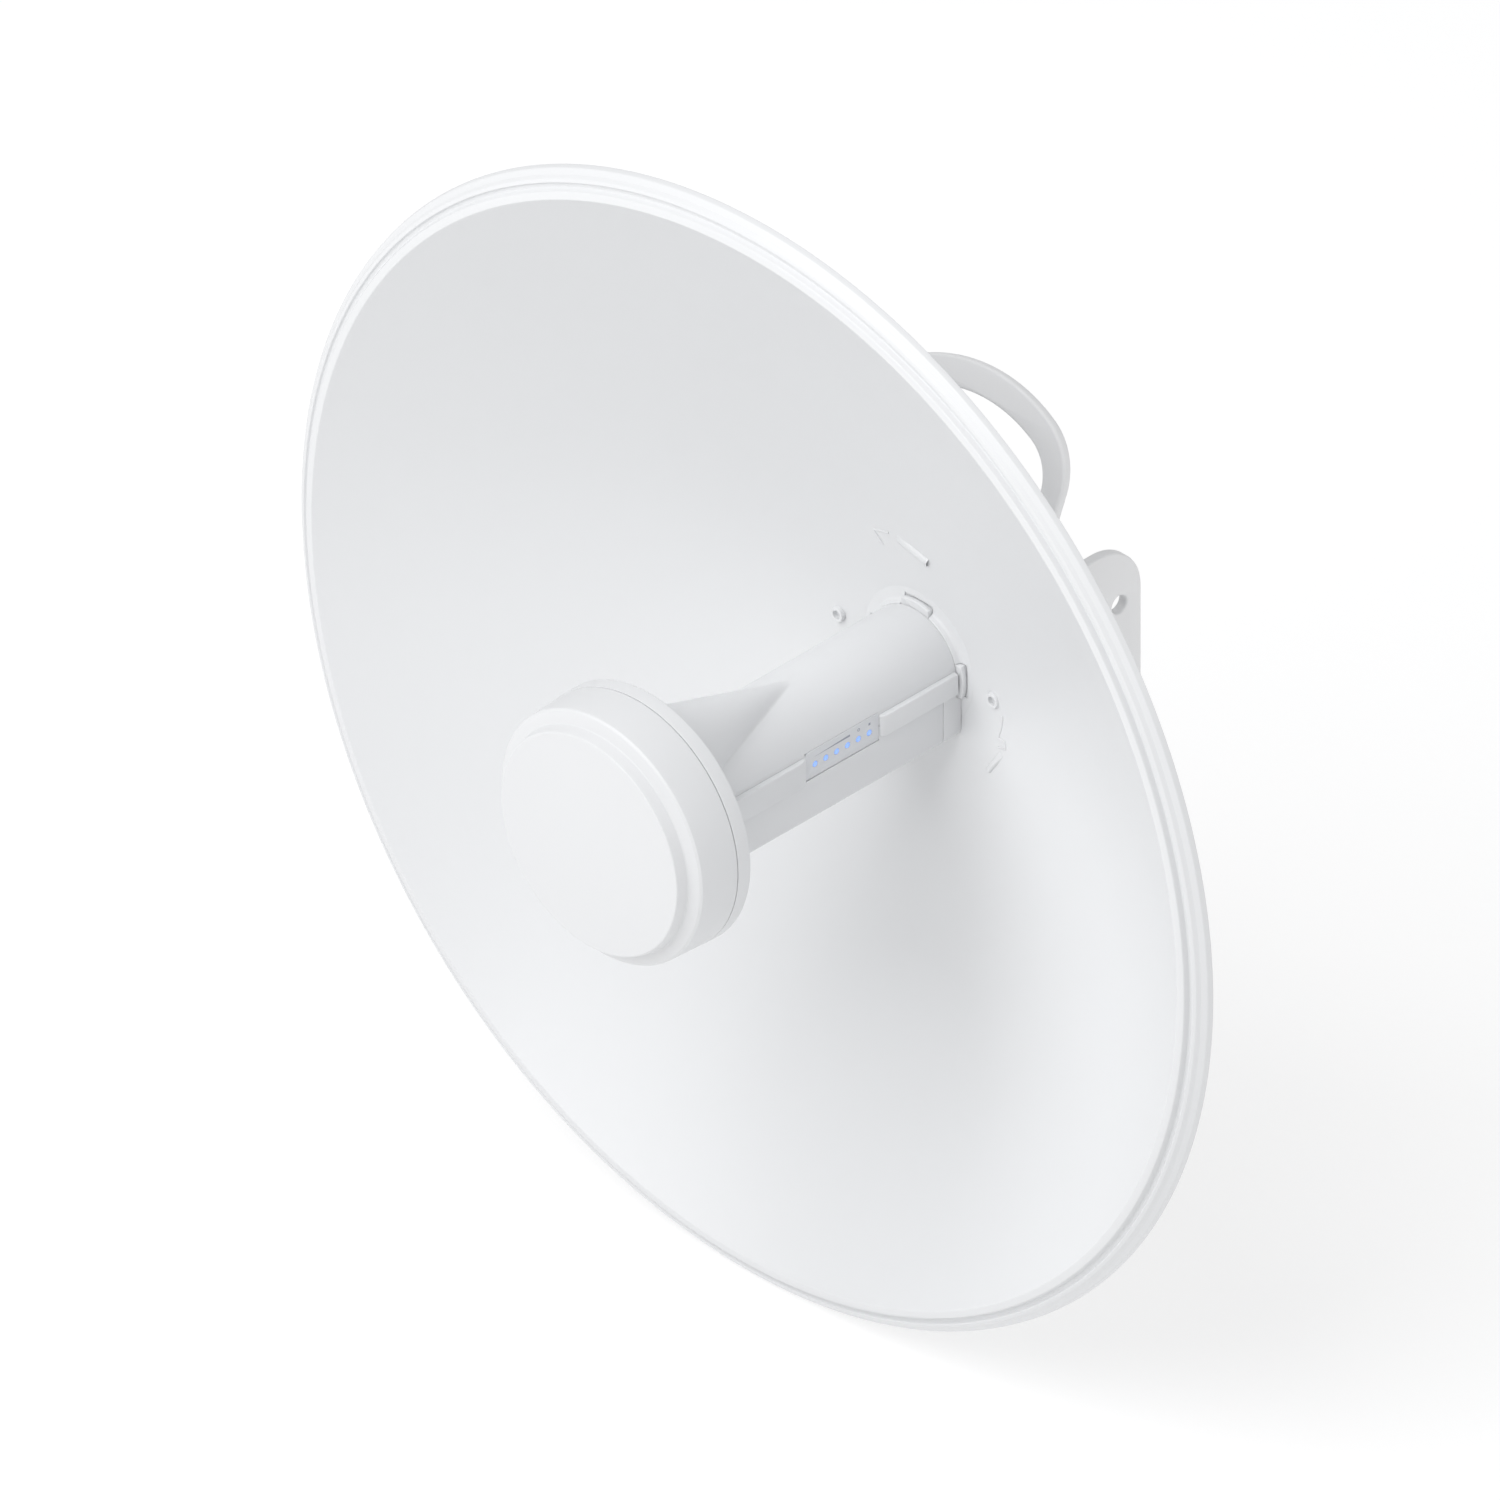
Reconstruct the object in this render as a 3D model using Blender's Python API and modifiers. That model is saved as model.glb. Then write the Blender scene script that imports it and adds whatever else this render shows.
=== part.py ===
"""Outdoor wireless bridge: a dish reflector with a snap-in feed on a tilting pole bracket.

Sizes are in millimetres and become metres in the mesh. Every place is given as
(x, depth, height): x to the right as the dish's front is seen, depth backwards from the
plane of the rim, and height above the dish's axis. The world's origin is the middle of the
flat face that lies against the pole; the dish looks along -Y, and +Z is up.
"""

import math

import bmesh
import bpy
from mathutils import Matrix, Vector

MM = 0.001
GAP = 0.3                   # clearance between two pieces that touch

# Driving dimensions
RIM_RADIUS = 210.0
BOWL_RADIUS = 200.2         # where the bowl meets the rolled rim
FOCAL_LENGTH = 119.7
VERTEX_DEPTH = 76.9
SHEET = 1.6                 # thickness of the reflector
MOUNT_DEPTH = 153.0         # depth of the face against the pole
AXIS_HEIGHT = 35.0          # the dish's axis above the middle of that face

TUBE_RADIUS = 19.2
TUBE_WALL = 2.0
TUBE_BOTTOM = 22.3
TUBE_FRONT = -51.0
TUBE_BACK = 73.0

CAP_RADIUS = 47.4
CAP_FRONT = -79.5
CAP_SEAM = -57.4
CAP_BACK = -51.3

HUB_HOLE = 20.7
HUB_BORE = 16.5
SPIGOT_RADIUS = 12.5
SPIGOT_END = 100.0
LATCH_TRAVEL_ROOM = 14.3    # radius of a latch's inner face

PLATE_FRONT = 79.6
PLATE_BACK = 83.1
PIVOT_DEPTH = 118.0
PIVOT_BOLT_RADIUS = 4.0
PIVOT_HOLE_RADIUS = 4.3
EAR_INNER = 18.2
EAR_OUTER = 22.2
CHEEK_INNER = 22.5
CHEEK_OUTER = 26.5
WEB_FRONT = 149.0
WEB_TOP = -14.0
WEB_BOTTOM = -56.0

HANDLE_LEAN = math.radians(23)
HANDLE_HALF_WIDTH = 41.9
HANDLE_TOP = 105.7          # measured up the leaning plane
HANDLE_ROOT_DEPTH = 68.6    # where the leaning plane crosses the axis's height
HANDLE_THICKNESS = 4.0

HOUSING_HALF_WIDTH = 17.6
HOUSING_BACK = 104.0
HOUSING_TOP = 19.0
HOUSING_BOTTOM = -46.0
HOUSING_WALL = 2.0
GROMMET_DEPTH = 93.0

LED_COUNT = 6
LED_PITCH = 5.08
LED_FIRST = 7.2
LED_HEIGHT = -0.8
WINDOW_FRONT = 2.5
WINDOW_BACK = 36.7
WINDOW_TOP = 5.1
WINDOW_BOTTOM = -5.6
WINDOW_FACE = 19.3

EYELET_X = 35.8
HUB_SCREWS = [(26.2, 12.5), (-26.2, 12.5), (-26.2, -12.5), (26.2, -12.5)]
HOUSING_SCREWS = [(0.0, 23.5), (-11.0, -50.5), (11.0, -50.5)]
HANDLE_SCREW = (37.5, 28.0)
GROUND_SCREW = (-33.0, -22.0)

# World directions of the local x, y and z of a flat outline
FACING_X = Matrix(((0, 0, 1), (1, 0, 0), (0, 1, 0)))
FACING_Y = Matrix(((1, 0, 0), (0, 0, -1), (0, 1, 0)))
FACING_Z = Matrix.Identity(3)
ALONG_Y = Matrix.Rotation(math.radians(-90), 3, "X")
ALONG_Z = Matrix.Identity(3)


# ---------------------------------------------------------------- scene and materials

def clear_scene():
    for old in list(bpy.data.objects):
        bpy.data.objects.remove(old, do_unlink=True)


def new_collection(name):
    collection = bpy.data.collections.new(name)
    bpy.context.scene.collection.children.link(collection)
    return collection


def new_material(name, color, roughness, metallic=0.0):
    material = bpy.data.materials.new(name)
    material.use_nodes = True
    shader = material.node_tree.nodes["Principled BSDF"]
    shader.inputs["Base Color"].default_value = (*color, 1.0)
    shader.inputs["Roughness"].default_value = roughness
    shader.inputs["Metallic"].default_value = metallic
    return material


clear_scene()
PARTS = new_collection("outdoor_wireless_bridge")
CUTTERS = new_collection("cutters")

PAINT = ((0.80, 0.81, 0.82), 0.38, 0.0)
PLASTIC = ((0.82, 0.83, 0.84), 0.50, 0.0)
ZINC = ((0.62, 0.63, 0.64), 0.35, 1.0)
BLACK = ((0.03, 0.03, 0.03), 0.60, 0.0)
GREEN = ((0.04, 0.22, 0.10), 0.55, 0.0)
BLUE = ((0.22, 0.42, 0.85), 0.30, 0.0)


def place(x, depth, height):
    return Vector((x, depth - MOUNT_DEPTH, height + AXIS_HEIGHT)) * MM


def finish(obj, look):
    """Give a piece its own material and smooth its round faces."""
    obj.data.materials.clear()
    obj.data.materials.append(new_material(obj.name, *look))
    obj.data.shade_smooth()
    obj.data.set_sharp_from_angle(angle=math.radians(35))
    return obj


def add_mesh(name, mesh, matrix, collection=PARTS):
    obj = bpy.data.objects.new(name, mesh)
    obj.matrix_world = matrix
    collection.objects.link(obj)
    return obj


def frame_at(point, axes):
    return Matrix.Translation(point) @ axes.to_4x4()


# ---------------------------------------------------------------- shapes

def arc(cx, cy, radius, start, end, count):
    """Points of an arc, its ends included; angles in degrees."""
    angles = [math.radians(start + (end - start) * i / count) for i in range(count + 1)]
    return [(cx + radius * math.cos(a), cy + radius * math.sin(a)) for a in angles]


def circle(cx, cy, radius, count=16):
    return arc(cx, cy, radius, 0, 360, count)[:-1]


def signed_area(points):
    pairs = zip(points, points[1:] + points[:1])
    return sum(a[0] * b[1] - b[0] * a[1] for a, b in pairs) / 2


def turned(name, profile, steps, closed=True, point=None, axes=ALONG_Y, collection=PARTS):
    """A turned piece: (radius, height along the axis) pairs, turned by a Screw modifier."""
    if signed_area(profile) > 0:
        profile = profile[::-1]
    mesh = bpy.data.meshes.new(name)
    count = len(profile)
    edges = [(i, i + 1) for i in range(count - 1)]
    if closed:
        edges.append((count - 1, 0))
    mesh.from_pydata([(r * MM, 0.0, h * MM) for r, h in profile], edges, [])
    start = place(0, 0, 0) if point is None else point
    obj = add_mesh(name, mesh, frame_at(start, axes), collection)
    screw = obj.modifiers.new("turn", "SCREW")
    screw.axis = "Z"
    screw.steps = steps
    screw.render_steps = steps
    screw.use_merge_vertices = True
    screw.merge_threshold = 0.00001
    screw.use_smooth_shade = False
    return obj


def extruded(name, outlines, low, high, axes, point=None, collection=PARTS):
    """A flat piece: closed outlines in the axes' plane, from low to high along its normal."""
    curve = bpy.data.curves.new(name, "CURVE")
    curve.dimensions = "2D"
    curve.fill_mode = "BOTH"
    curve.extrude = (high - low) / 2 * MM
    for outline in outlines:
        spline = curve.splines.new("POLY")
        spline.points.add(len(outline) - 1)
        for vertex, (x, y) in zip(spline.points, outline):
            vertex.co = (x * MM, y * MM, 0.0, 1.0)
        spline.use_cyclic_u = True
    guide = bpy.data.objects.new(name + "_outline", curve)
    bpy.context.scene.collection.objects.link(guide)
    mesh = bpy.data.meshes.new_from_object(guide.evaluated_get(bpy.context.evaluated_depsgraph_get()))
    bpy.data.objects.remove(guide, do_unlink=True)
    weld(mesh)
    start = place(0, 0, 0) if point is None else point
    shift = axes @ Vector((0, 0, (low + high) / 2 * MM))
    return add_mesh(name, mesh, frame_at(start + shift, axes), collection)


def weld(mesh):
    work = bmesh.new()
    work.from_mesh(mesh)
    bmesh.ops.remove_doubles(work, verts=work.verts, dist=0.000001)
    bmesh.ops.recalc_face_normals(work, faces=work.faces)
    work.to_mesh(mesh)
    work.free()


def box(name, x, depth, height, collection=PARTS):
    """A box from its (low, high) extents along x, depth and height."""
    sides = [(pair[1] - pair[0]) * MM for pair in (x, depth, height)]
    work = bmesh.new()
    bmesh.ops.create_cube(work, size=1.0, matrix=Matrix.Diagonal((*sides, 1.0)))
    mesh = bpy.data.meshes.new(name)
    work.to_mesh(mesh)
    work.free()
    middle = place(*[(pair[0] + pair[1]) / 2 for pair in (x, depth, height)])
    return add_mesh(name, mesh, Matrix.Translation(middle), collection)


def cone(name, start, end, start_radius, end_radius, sides=24, collection=PARTS):
    """A cylinder or cone between two (x, depth, height) points."""
    first = place(*start)
    last = place(*end)
    work = bmesh.new()
    bmesh.ops.create_cone(
        work, cap_ends=True, segments=sides, depth=(last - first).length,
        radius1=start_radius * MM, radius2=end_radius * MM)
    mesh = bpy.data.meshes.new(name)
    work.to_mesh(mesh)
    work.free()
    turn = (last - first).to_track_quat("Z", "Y").to_matrix().to_4x4()
    return add_mesh(name, mesh, Matrix.Translation((first + last) / 2) @ turn, collection)


def rod(name, start, end, radius, sides=24, collection=PARTS):
    return cone(name, start, end, radius, radius, sides, collection)


def bevel(obj, width, segments=2):
    modifier = obj.modifiers.new("round", "BEVEL")
    modifier.width = width * MM
    modifier.segments = segments
    modifier.limit_method = "ANGLE"
    modifier.angle_limit = math.radians(40)
    return obj


def combine(obj, tool, operation):
    modifier = obj.modifiers.new(tool.name, "BOOLEAN")
    modifier.operation = operation
    modifier.solver = "EXACT"
    modifier.object = tool
    tool.hide_render = True
    tool.display_type = "WIRE"
    return obj


def cut(obj, *tools):
    for tool in tools:
        combine(obj, tool, "DIFFERENCE")
    return obj


def join(obj, *tools):
    for tool in tools:
        combine(obj, tool, "UNION")
    return obj


def screw(name, x, height, head_back, length, head_radius, shank_radius):
    """A pan-head screw along the depth, with its head at the back."""
    head_front = head_back - 2.0
    profile = [
        (0, head_back), (head_radius * 0.6, head_back), (head_radius, head_back - 0.8),
        (head_radius, head_front), (shank_radius, head_front),
        (shank_radius, head_front - length), (0, head_front - length)]
    obj = turned(name, profile, 12, closed=False, point=place(x, 0, height))
    return finish(obj, ZINC)


# ---------------------------------------------------------------- reflector and hub

def bowl_depth(radius):
    return VERTEX_DEPTH - radius ** 2 / (4 * FOCAL_LENGTH)


def behind_bowl(radius):
    """The point of the sheet's back opposite a point of the bowl."""
    slope = -radius / (2 * FOCAL_LENGTH)
    length = math.hypot(1, slope)
    return radius - SHEET * slope / length, bowl_depth(radius) + SHEET / length


def make_dish():
    rings = 9
    last_back = 196.0
    front_radii = [HUB_HOLE + (BOWL_RADIUS - HUB_HOLE) * i / rings for i in range(rings + 1)]
    back_radii = [HUB_HOLE + (last_back - HUB_HOLE) * i / rings for i in range(rings + 1)]
    bowl = [(r, bowl_depth(r)) for r in front_radii]
    rolled_rim = [
        (202.8, -5.6), (204.0, -4.1), (206.0, -4.3), (207.2, -5.8), (208.9, -5.0),
        (209.8, -3.2), (RIM_RADIUS, 0.6), (208.4, 0.6), (208.3, -2.8), (203.6, -2.3)]
    back = [behind_bowl(r) for r in back_radii]
    dish = turned("dish_reflector", bowl + rolled_rim + back[::-1], 48)
    for side, name in ((-1, "left"), (1, "right")):
        x = side * EYELET_X
        cut(dish, rod(f"eyelet_hole_{name}", (x, 70, 0), (x, 80, 0), 2.15, 10, CUTTERS))
    return finish(dish, PAINT)


def make_eyelet(name, x):
    profile = [
        (1.0, 72.9), (2.5, 72.9), (2.5, 73.5), (1.8, 73.5), (1.8, 76.6), (3.2, 76.6),
        (3.2, 79.3), (1.8, 79.3), (1.8, 83.4), (3.2, 83.4), (3.2, 84.2), (1.0, 84.2)]
    return finish(turned(name, profile, 10, point=place(x, 0, 0)), PAINT)


def make_hub_collar():
    collar_radius = HUB_HOLE - GAP
    flange_radius = 32.0
    flange_front = PLATE_FRONT - GAP - 1.4
    flange_back = PLATE_FRONT - GAP
    profile = [
        (HUB_BORE, TUBE_BACK + GAP), (collar_radius - 0.6, TUBE_BACK + GAP),
        (collar_radius, TUBE_BACK + GAP + 0.6), (collar_radius, flange_front),
        (flange_radius, flange_front), (flange_radius, flange_back), (HUB_BORE, flange_back)]
    collar = turned("hub_collar", profile, 32)
    notch = 5.5
    cut(collar, box("notch_upright", (-notch, notch), (70, 76.2), (-23, 23), CUTTERS))
    cut(collar, box("notch_across", (-23, 23), (70, 76.2), (-notch, notch), CUTTERS))
    for i, (x, height) in enumerate(HUB_SCREWS):
        cut(collar, rod(f"hub_screw_hole_{i}", (x, 76, height), (x, 81, height), 2.1, 8, CUTTERS))
    return finish(collar, PLASTIC)


# ---------------------------------------------------------------- feed

def make_tube_upper():
    half_disc = [(TUBE_RADIUS, GAP / 2)] + arc(0, 0, TUBE_RADIUS, 3, 177, 30) + [(-TUBE_RADIUS, GAP / 2)]
    tube = extruded("feed_tube_upper", [half_disc], -TUBE_BACK, -TUBE_FRONT, FACING_Y)
    gusset = cone("gusset", (0, 16, 17.5), (0, -56, 17.5), 1.5, 21.0, 40, CUTTERS)
    join(tube, gusset)
    inner = TUBE_RADIUS - TUBE_WALL
    cut(
        tube,
        rod("tube_bore", (0, -70, 0), (0, 80, 0), inner, 40, CUTTERS),
        box("tube_below", (-30, 30), (-70, 80), (-30, GAP / 2), CUTTERS),
        box("tube_ahead", (-30, 30), (-70, TUBE_FRONT), (-30, 40), CUTTERS),
        box(
            "window_above", (15, 25), (WINDOW_FRONT - GAP, WINDOW_BACK + GAP),
            (-1, WINDOW_TOP + GAP), CUTTERS))
    return finish(tube, PLASTIC)


def make_tube_lower():
    inner = TUBE_RADIUS - TUBE_WALL
    floor = TUBE_WALL - TUBE_BOTTOM
    corner = 2.2
    side = TUBE_RADIUS - corner
    base = corner - TUBE_BOTTOM
    outline = [(-TUBE_RADIUS, -GAP / 2)] + arc(-side, base, corner, 180, 270, 5)
    outline += arc(side, base, corner, 270, 360, 5) + [(TUBE_RADIUS, -GAP / 2), (inner, -GAP / 2)]
    outline += [(inner, floor), (-inner, floor), (-inner, -GAP / 2)]
    tube = extruded("feed_tube_lower", [outline], -TUBE_BACK, -TUBE_FRONT, FACING_Y)
    cut(tube, box(
        "window_below", (15, 25), (WINDOW_FRONT - GAP, WINDOW_BACK + GAP),
        (WINDOW_BOTTOM - GAP, 1), CUTTERS))
    return finish(tube, PLASTIC)


def make_rail(name, side, front, back, bottom, top, ramp_front, ramp_back):
    """A raised rail along the tube's side, with a ramp at an end that has one."""
    root = 17.5
    lip = TUBE_RADIUS + 2 * GAP
    crest = 21.2
    outline = [
        (side * root, front), (side * lip, front), (side * crest, front + ramp_front),
        (side * crest, back - ramp_back), (side * lip, back), (side * root, back)]
    rail = extruded(name, [outline], bottom, top, FACING_Z)
    clear = TUBE_RADIUS + GAP
    envelope = [(-clear, -25)] + arc(0, 0, clear, 180, 0, 48) + [(clear, -25)]
    cut(rail, extruded(name + "_seat", [envelope], -80, 60, FACING_Y, collection=CUTTERS))
    return finish(rail, PLASTIC)


def make_led_window():
    outline = [
        (WINDOW_FRONT, WINDOW_BOTTOM), (WINDOW_BACK, WINDOW_BOTTOM), (WINDOW_BACK, WINDOW_TOP),
        (WINDOW_FRONT + 1.2, WINDOW_TOP), (WINDOW_FRONT, WINDOW_TOP - 1.2)]
    holes = [circle(depth, LED_HEIGHT, 1.35, 8) for depth in led_depths()]
    window = extruded("led_window", [outline] + holes, WINDOW_FACE - 1.7, WINDOW_FACE, FACING_X)
    return finish(window, PLASTIC)


def led_depths():
    return [LED_FIRST + LED_PITCH * i for i in range(LED_COUNT)]


def make_led_lenses():
    for i, depth in enumerate(led_depths()):
        lens = rod(
            f"led_lens_{i + 1}", (WINDOW_FACE - 1.9, depth, LED_HEIGHT),
            (WINDOW_FACE + 0.15, depth, LED_HEIGHT), 1.0, 8)
        finish(lens, BLUE)


def make_cap():
    front = turned("feed_cap_front", [
        (0, CAP_FRONT), (39.7, CAP_FRONT), (40.6, CAP_FRONT + 0.7), (41.4, -75.2), (45.3, -73.9),
        (46.3, -73.0), (47.1, CAP_SEAM), (45.0, CAP_SEAM), (44.3, -71.5), (39.2, -73.2),
        (38.6, -77.3), (0, -77.3)], 40, closed=False)
    rear_front = CAP_SEAM + GAP
    rear = turned("feed_cap_rear", [
        (14.8, CAP_BACK), (46.4, CAP_BACK), (CAP_RADIUS, CAP_BACK - 1.0), (47.2, rear_front),
        (45.2, rear_front), (45.2, CAP_BACK - 2), (14.8, CAP_BACK - 2)], 40)
    seal = turned("cap_seal", [(42.9, -59.0), (44.6, -59.0), (44.6, -55.6), (42.9, -55.6)], 24)
    finish(front, PLASTIC)
    finish(rear, PLASTIC)
    finish(seal, BLACK)


def make_feed_insides():
    reflector = turned("subreflector", [
        (0, -76.7), (30, -74.9), (34, -73.6), (34, -72.6), (29.6, -73.7), (0, -75.5)], 24, closed=False)
    finish(reflector, ZINC)
    horn = turned("feed_horn", [
        (10.2, -20), (10.2, -60), (14.4, -68), (15.6, -68), (12.0, -60), (12.0, -20)], 20)
    finish(horn, ZINC)
    board = [
        (-15, -14.9), (15, -14.9), (15, 60), (8.5, 62), (8.5, 79.6), (-8.5, 79.6), (-8.5, 62), (-15, 60)]
    finish(extruded("main_pcb", [board], -6.6, -5.0, FACING_Z), GREEN)
    shield = bevel(box("rf_shield", (-11, 11), (5, 45), (-4.7, -0.9)), 0.6, 1)
    finish(shield, ZINC)


def make_coupler():
    inner = SPIGOT_RADIUS - 1.5
    flange = TUBE_RADIUS - TUBE_WALL - 0.4
    coupler = turned("feed_coupler", [
        (inner, 64), (flange, 64), (flange, 67), (SPIGOT_RADIUS, 67),
        (SPIGOT_RADIUS, SPIGOT_END - 0.8), (SPIGOT_RADIUS - 0.6, SPIGOT_END), (inner, SPIGOT_END)], 24)
    return finish(coupler, PLASTIC)


def make_jack():
    jack = box("ethernet_jack", (-7.9, 7.9), (81, SPIGOT_END), (-6.7, 6.7))
    cut(jack, box("jack_mouth", (-5.9, 5.9), (86, 102), (-4.3, 4.0), CUTTERS))
    cut(jack, box("jack_clip_slot", (-3.0, 3.0), (86, 102), (-5.7, -4.0), CUTTERS))
    return finish(jack, BLACK)


def make_reset_button():
    button = rod("reset_button", (0, 93, 8.9), (0, 100.8, 8.9), 1.1, 12)
    return finish(bevel(button, 0.2, 1), BLACK)


def make_latch(name, turn):
    """A feed latch: a lug in the collar's notch, on an arm inside the tube."""
    latch = box(name, (-5.2, 5.2), (73.6, 75.7), (LATCH_TRAVEL_ROOM, 20.6))
    arm = box(name + "_arm", (-4.0, 4.0), (67.4, 74.4), (LATCH_TRAVEL_ROOM, 15.8), CUTTERS)
    axis = place(0, 0, 0)
    spin = Matrix.Translation(axis) @ Matrix.Rotation(math.radians(turn), 4, "Y") @ Matrix.Translation(-axis)
    for obj in (latch, arm):
        obj.matrix_world = spin @ obj.matrix_world
    join(latch, arm)
    return finish(bevel(latch, 0.4, 1), PLASTIC)


# ---------------------------------------------------------------- rear bracket and housing

def make_dish_bracket():
    outline = arc(38, 36, 8, 0, 90, 5) + arc(-38, 36, 8, 90, 180, 5)
    outline += [(-46, 4)] + arc(-22, -50, 6, 190, 270, 5) + arc(22, -50, 6, 270, 350, 5) + [(46, 4)]
    holes = [circle(0, 0, SPIGOT_RADIUS + 0.7, 24)]
    holes += [circle(x, 0, 2.15, 8) for x in (-EYELET_X, EYELET_X)]
    holes += [circle(x, height, 2.1, 8) for x, height in HUB_SCREWS]
    holes += [circle(x, height, 1.8, 8) for x, height in HOUSING_SCREWS]
    holes += [circle(side * HANDLE_SCREW[0], HANDLE_SCREW[1], 2.1, 8) for side in (-1, 1)]
    holes.append(circle(*GROUND_SCREW, 2.2, 8))
    bracket = extruded("dish_bracket", [outline] + holes, -PLATE_BACK, -PLATE_FRONT, FACING_Y)
    ear = [(82, -21)] + arc(PIVOT_DEPTH, 0, 14, -75, 75, 12) + [(82, 21)]
    for side, name in ((-1, "left"), (1, "right")):
        low, high = sorted((side * EAR_INNER, side * EAR_OUTER))
        hole = circle(PIVOT_DEPTH, 0, PIVOT_HOLE_RADIUS, 20)
        join(bracket, extruded(f"ear_{name}", [ear, hole], low, high, FACING_X, collection=CUTTERS))
    return finish(bracket, PLASTIC)


def handle_outline(half_width, top, top_radius, corner):
    """An arch: two straight legs, round corners and a slightly domed top."""
    centre = top - top_radius
    corner_x = half_width - corner
    corner_y = centre + math.sqrt((top_radius - corner) ** 2 - corner_x ** 2)
    lean = math.degrees(math.atan2(corner_y - centre, corner_x))
    right = arc(corner_x, corner_y, corner, 0, lean, 6)
    dome = arc(0, centre, top_radius, lean, 180 - lean, 8)[1:-1]
    left = arc(-corner_x, corner_y, corner, 180 - lean, 180, 6)
    return right + dome + left


def make_handle():
    foot = 30.0
    inner_half_width = 33.0
    outer = handle_outline(HANDLE_HALF_WIDTH, HANDLE_TOP, 80.0, 19.0)
    inner = handle_outline(inner_half_width, HANDLE_TOP - 10.5, 69.5, 13.0)
    outline = [(HANDLE_HALF_WIDTH, foot)] + outer + [(-HANDLE_HALF_WIDTH, foot), (-inner_half_width, foot)]
    outline += inner[::-1] + [(inner_half_width, foot)]
    sine = math.sin(HANDLE_LEAN)
    cosine = math.cos(HANDLE_LEAN)
    leaning = Matrix(((1, 0, 0), (0, sine, -cosine), (0, cosine, sine)))
    handle = extruded(
        "carry_handle", [outline], -HANDLE_THICKNESS, 0, leaning, place(0, HANDLE_ROOT_DEPTH, 0))
    bevel(handle, 0.9, 1)
    pad_front = PLATE_BACK + GAP
    cut(handle, box("handle_below", (-60, 60), (60, pad_front), (0, 60), CUTTERS))
    for side, name in ((-1, "left"), (1, "right")):
        x = side * HANDLE_SCREW[0]
        pad = box(f"pad_{name}", (x - 6.5, x + 6.5), (pad_front, pad_front + 3.5), (21, 43), CUTTERS)
        hole = rod(
            f"pad_hole_{name}", (x, 80, HANDLE_SCREW[1]), (x, 90, HANDLE_SCREW[1]), 2.1, 8, CUTTERS)
        join(handle, pad)
        cut(handle, hole)
    return finish(handle, PLASTIC)


def make_rear_housing():
    half = HOUSING_HALF_WIDTH
    front = PLATE_BACK + GAP
    housing = box("rear_housing", (-half, half), (front, HOUSING_BACK), (HOUSING_BOTTOM, HOUSING_TOP))
    bevel(housing, 3.0, 2)
    inside = half - HOUSING_WALL
    tab_back = front + 2.0
    join(
        housing,
        box("tab_top", (-6, 6), (front, tab_back), (HOUSING_TOP - 5, 28), CUTTERS),
        box("tab_bottom", (-16, 16), (front, tab_back), (-55, HOUSING_BOTTOM + 5), CUTTERS),
        box("guide_left", (-14.6, -12.4), (101, 106.5), (-40, 15), CUTTERS),
        box("guide_right", (12.4, 14.6), (101, 106.5), (-40, 15), CUTTERS))
    cut(
        housing,
        box(
            "housing_cavity", (-inside, inside), (front - 2, HOUSING_BACK - HOUSING_WALL),
            (HOUSING_BOTTOM + HOUSING_WALL, HOUSING_TOP - HOUSING_WALL), CUTTERS),
        box("port_window", (-9, 9), (100, 108), (-13, 11), CUTTERS),
        rod("grommet_hole", (0, GROMMET_DEPTH, -50), (0, GROMMET_DEPTH, -40), 5.9, 24, CUTTERS))
    for i, (x, height) in enumerate(HOUSING_SCREWS):
        cut(housing, rod(f"tab_hole_{i}", (x, 80, height), (x, 90, height), 1.8, 8, CUTTERS))
    return finish(housing, PLASTIC)


def make_grommet():
    profile = [
        (3.5, -48.4), (6.6, -48.4), (7.2, -47.6), (7.2, -46.3), (5.6, -46.3), (5.6, -43.7),
        (7.2, -43.7), (6.4, -42.2), (3.5, -42.2)]
    grommet = turned(
        "cable_grommet", profile, 16, point=place(0, GROMMET_DEPTH, 0), axes=ALONG_Z)
    return finish(grommet, BLACK)


def make_port_cover():
    front = HOUSING_BACK + GAP
    cover = box("port_cover", (-12.1, 12.1), (front, front + 2.0), (-32, 14))
    bevel(cover, 0.8, 2)
    join(cover, bevel(box("cover_grip", (-7, 7), (front + 1.0, front + 4.0), (7, 9.4), CUTTERS), 0.6, 1))
    return finish(cover, PLASTIC)


# ---------------------------------------------------------------- pole bracket and pivot

def make_pole_bracket():
    back = MOUNT_DEPTH
    cheek = [(126, 23)] + arc(back - 20, 3, 20, 90, 0, 8)
    cheek += arc(back - 4, WEB_BOTTOM + 4, 4, 0, -90, 4) + arc(136, WEB_BOTTOM + 6, 6, -90, -160, 4)
    cheek += arc(PIVOT_DEPTH, 0, 16, 240, 118, 10)
    holes = [circle(PIVOT_DEPTH, 0, PIVOT_HOLE_RADIUS, 20), circle(142.8, 0, 3.4, 16)]
    bracket = extruded("pole_bracket", [cheek] + holes, CHEEK_INNER, CHEEK_OUTER, FACING_X)
    other = extruded(
        "cheek_left", [cheek] + holes, -CHEEK_OUTER, -CHEEK_INNER, FACING_X, collection=CUTTERS)
    slots = []
    for x in (-15.0, 15.0):
        slots.append(arc(x, -25.5, 2.5, 0, 180, 6) + arc(x, -44.5, 2.5, 180, 360, 6))
    wide = CHEEK_INNER + 1
    outline = [(-wide, WEB_BOTTOM + 5), (wide, WEB_BOTTOM + 5), (wide, WEB_TOP), (-wide, WEB_TOP)]
    web = extruded("web", [outline] + slots, -back, -WEB_FRONT, FACING_Y, collection=CUTTERS)
    join(bracket, other, web)
    return finish(bracket, PLASTIC)


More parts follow.
